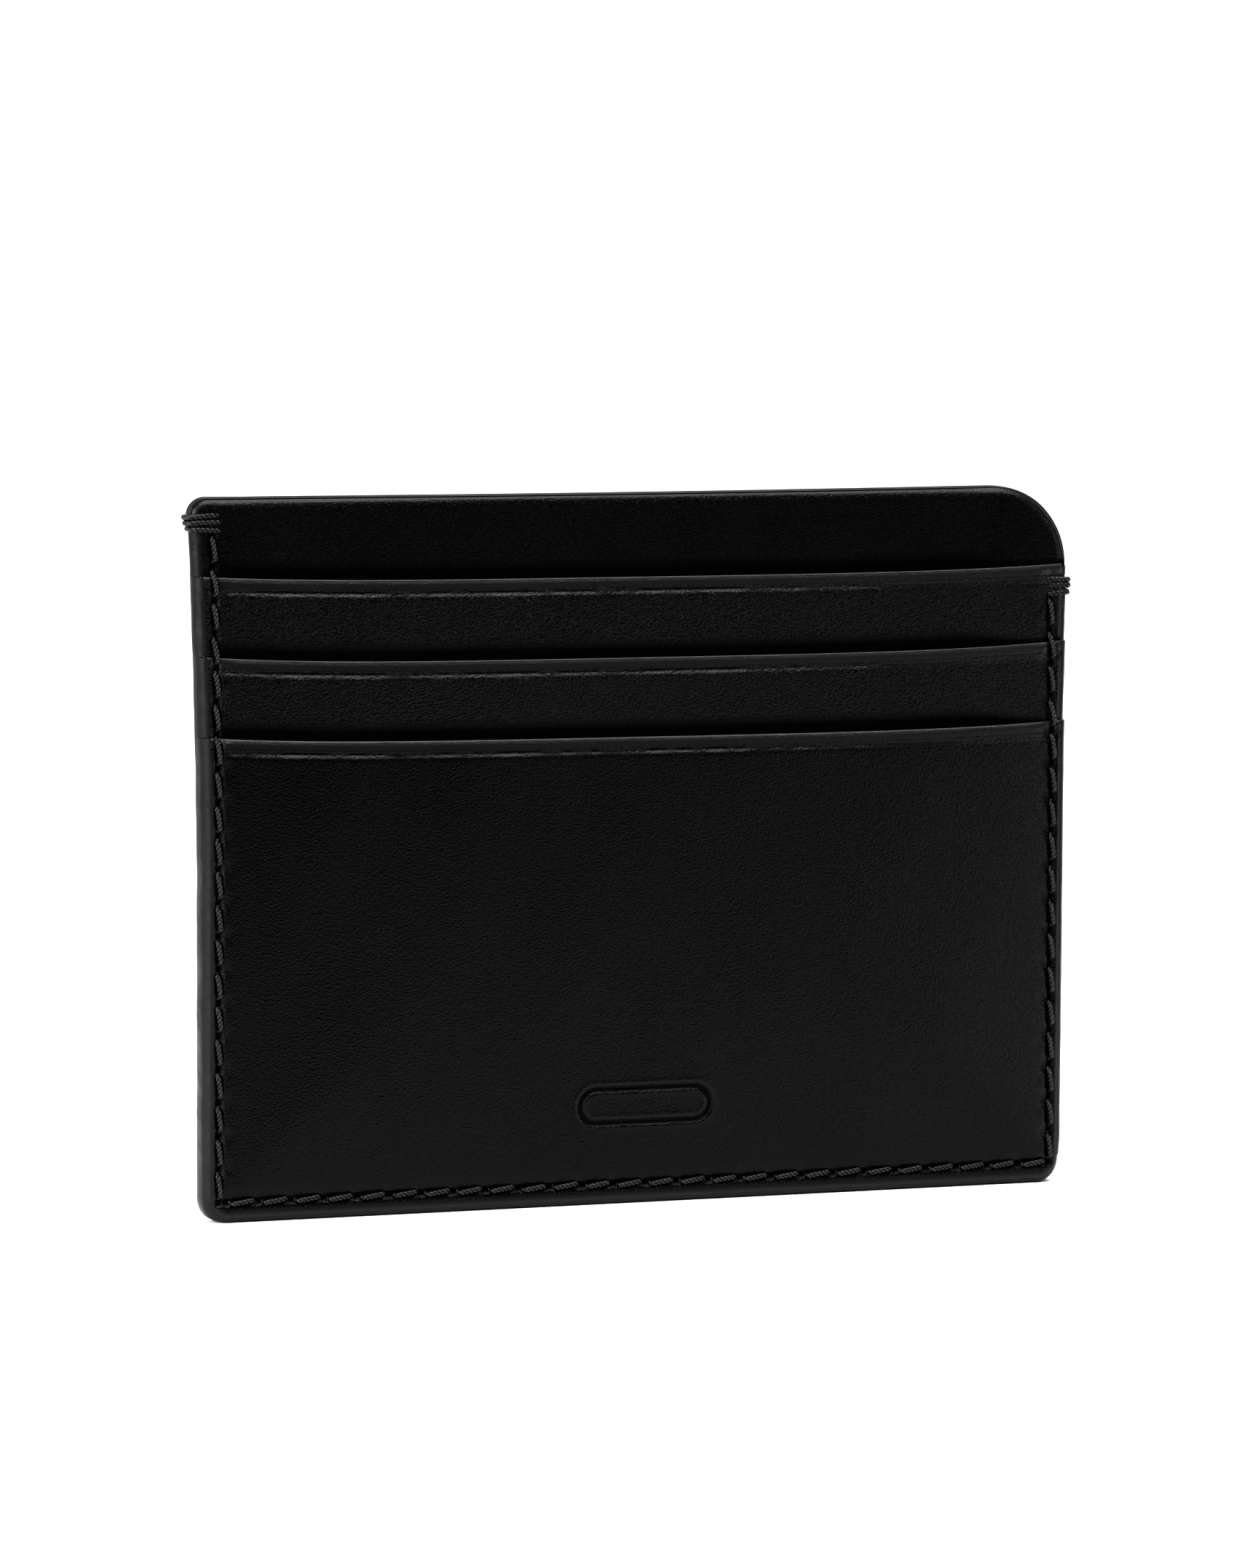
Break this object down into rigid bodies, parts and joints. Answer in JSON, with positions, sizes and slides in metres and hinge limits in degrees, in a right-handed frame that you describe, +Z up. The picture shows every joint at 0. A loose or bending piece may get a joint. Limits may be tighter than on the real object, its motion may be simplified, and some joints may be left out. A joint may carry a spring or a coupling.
{
  "type": "card holder",
  "caption": "Slim black leather card holder with stepped front card slots, a centre pocket open at the top and round a large top corner, and a stitched, painted edge.",
  "frame": {"origin": "middle of the bottom edge at the middle of the whole thickness, on the surface that the holder stands on", "axes": "+X along the width, to the right seen from the front; +Y through the thickness, out of the plain back; +Z up to the open top; the slots face -Y"},
  "size_m": [0.101, 0.004, 0.078],
  "materials": {
    "leather": "smooth black calf leather, semi-gloss, fine grain",
    "lining": "matt black twill",
    "thread": "waxed black twisted polyester thread",
    "edge_paint": "satin black edge paint",
    "adhesive": "dried contact adhesive, hidden between layers"
  },
  "bodies": {
    "root": {"back_panel": "leather", "back_lining": "lining", "centre_pocket_bond": "adhesive", "body_lining": "lining", "body_panel": "leather", "upper_slot_bond": "adhesive", "upper_slot_strip": "leather", "upper_slot_lining": "lining", "upper_stop_thread": "thread", "middle_slot_bond": "adhesive", "middle_slot_strip": "leather", "middle_slot_lining": "lining", "middle_stop_thread": "thread", "front_pocket_bond": "adhesive", "front_pocket_panel": "leather", "needle_thread": "thread", "bobbin_thread": "thread", "left_bar_tack": "thread", "right_bar_tack": "thread", "left_edge_coat": "edge_paint", "bottom_edge_coat": "edge_paint", "right_edge_coat": "edge_paint", "back_top_edge_coat": "edge_paint", "body_top_edge_coat": "edge_paint", "upper_mouth_edge_coat": "edge_paint", "middle_mouth_edge_coat": "edge_paint", "front_mouth_edge_coat": "edge_paint"}
  },
  "joints": []
}
